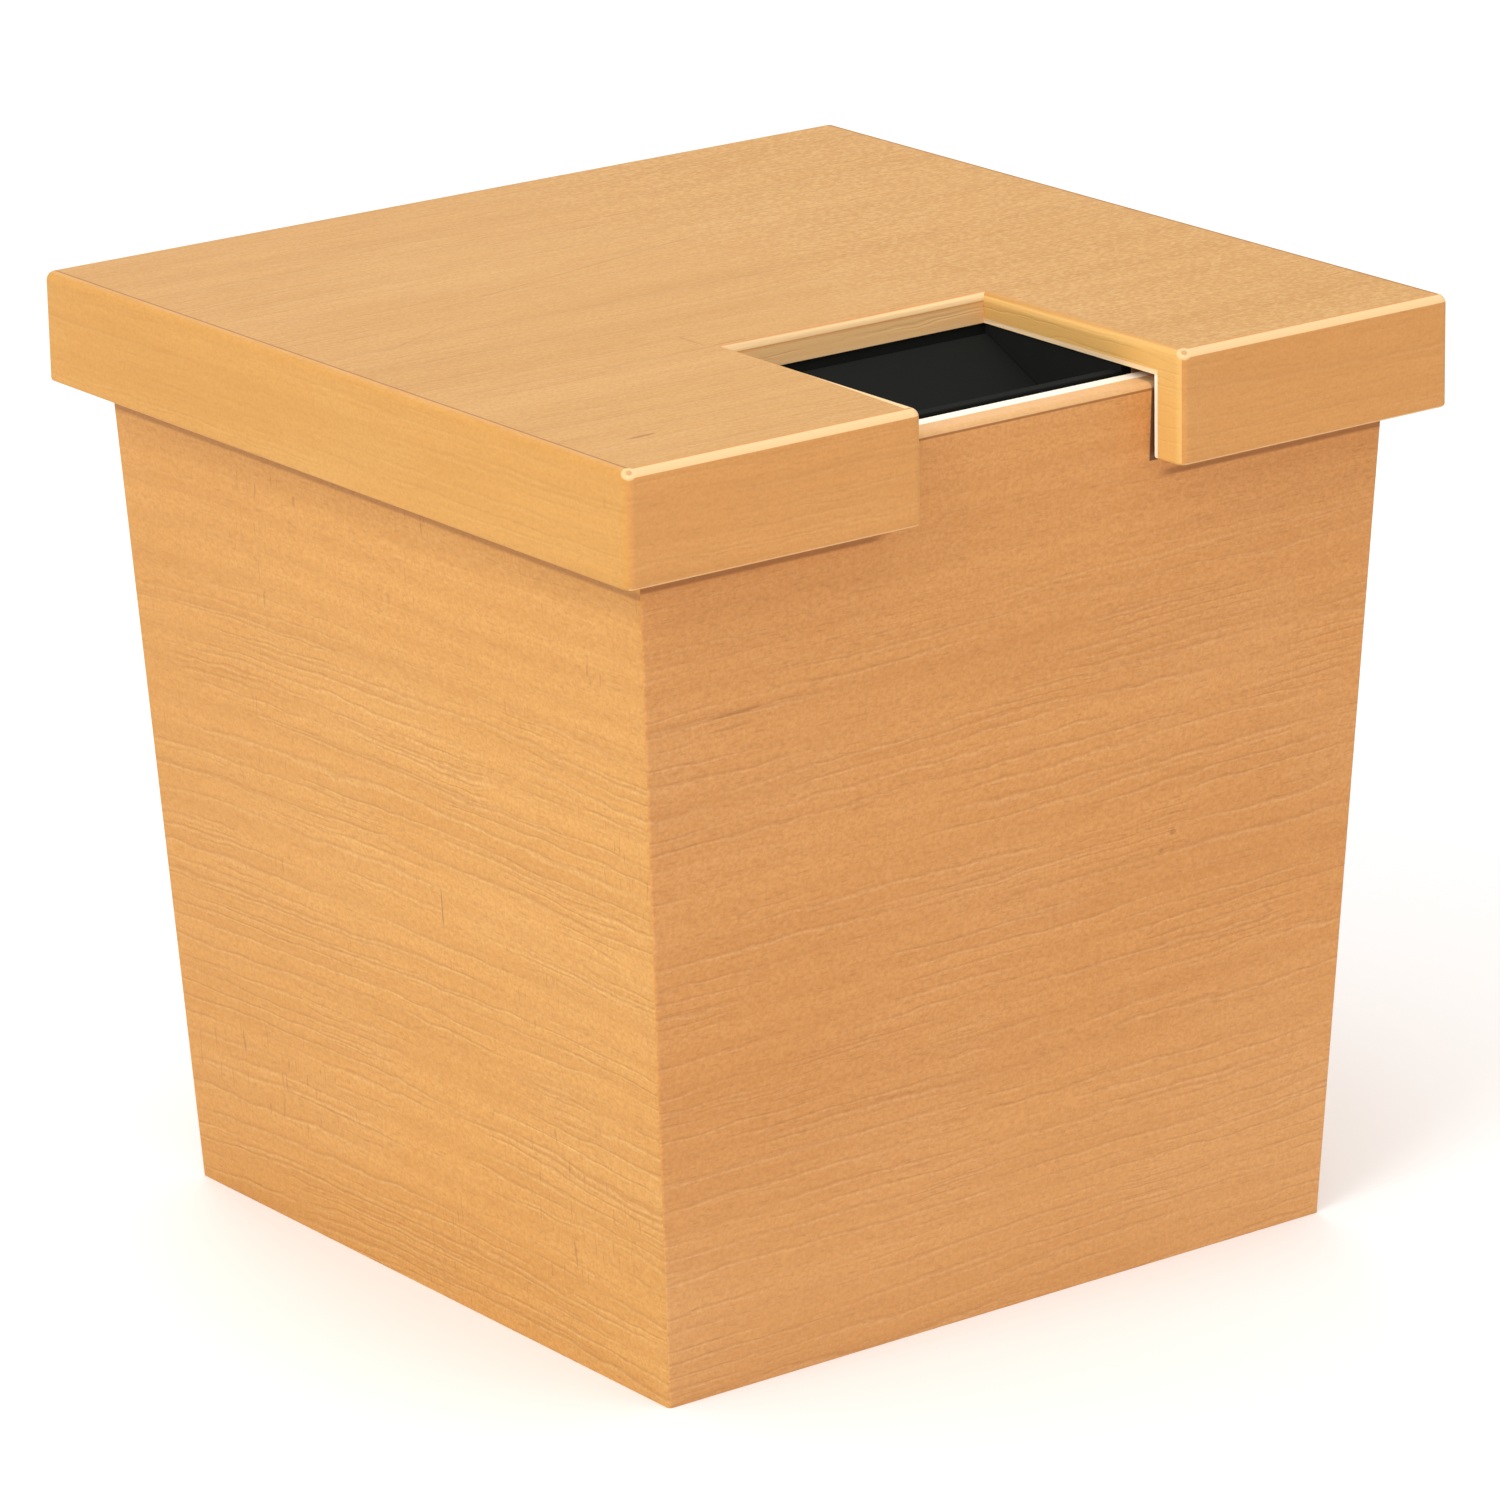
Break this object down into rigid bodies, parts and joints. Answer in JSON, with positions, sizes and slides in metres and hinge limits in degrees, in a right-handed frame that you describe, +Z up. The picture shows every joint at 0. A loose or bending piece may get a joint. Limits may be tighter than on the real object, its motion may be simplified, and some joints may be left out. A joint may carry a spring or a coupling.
{
  "type": "donation box",
  "caption": "Tapered wooden donation box with a notched lift-off lid, a black baffled chute under the notch and a cam lock at the rear.",
  "frame": {"origin": "on the surface the box stands on, under the middle of the lid", "axes": "+Z up, -Y towards the notched front, +X to the right of someone facing the front"},
  "size_m": [0.3, 0.3, 0.2905],
  "materials": {
    "beech": "satin clear lacquer on honey-coloured beech",
    "batten": "planed softwood, unfinished",
    "panel": "plywood, sanded",
    "chute_black": "matt black paint",
    "felt": "pressed felt",
    "steel": "zinc-plated",
    "lock_chrome": "bright plated",
    "black_steel": "blackened"
  },
  "bodies": {
    "box": {"wall_front": "beech", "base_cleat_front": "batten", "base_screw_front": "steel", "wall_right": "beech", "base_cleat_right": "batten", "base_screw_right": "steel", "wall_rear": "beech", "base_cleat_rear": "batten", "base_screw_rear": "steel", "wall_left": "beech", "base_cleat_left": "batten", "base_screw_left": "steel", "base_panel": "panel", "lid_rest_pad_front_left": "felt", "lid_rest_pad_front_right": "felt", "lid_rest_pad_rear_left": "felt", "lid_rest_pad_rear_right": "felt", "lock_housing": "lock_chrome", "lock_nut": "steel"},
    "lid": {"lid_board": "beech", "lid_rail_front_left": "beech", "lid_rail_front_right": "beech", "lid_rail_right": "beech", "lid_rail_rear": "beech", "lid_rail_left": "beech", "chute_plate_left": "chute_black", "chute_cleat_left": "batten", "chute_screw_left_1": "black_steel", "chute_screw_left_2": "black_steel", "chute_plate_right": "chute_black", "chute_cleat_right": "batten", "chute_screw_right_1": "black_steel", "chute_screw_right_2": "black_steel", "chute_plate_rear": "chute_black", "chute_cleat_rear": "batten", "chute_screw_rear_1": "black_steel", "chute_screw_rear_2": "black_steel", "chute_plate_front": "chute_black", "baffle_upper": "chute_black", "baffle_lower": "chute_black", "lock_keeper": "steel", "keeper_screw_1": "steel", "keeper_screw_2": "steel"},
    "lock_core": {"lock_plug": "lock_chrome", "lock_cam": "steel", "cam_screw": "steel"}
  },
  "joints": [
    {"name": "lid_lift", "type": "slide", "parent": "box", "child": "lid", "axis": [0, 0, 1], "range_m": [0, 0.12]},
    {"name": "lock_turn", "type": "hinge", "parent": "box", "child": "lock_core", "pos_m": [0, 0.13524, 0.236], "axis": [0, 0.9987, -0.0502], "range_deg": [0, 90]}
  ]
}
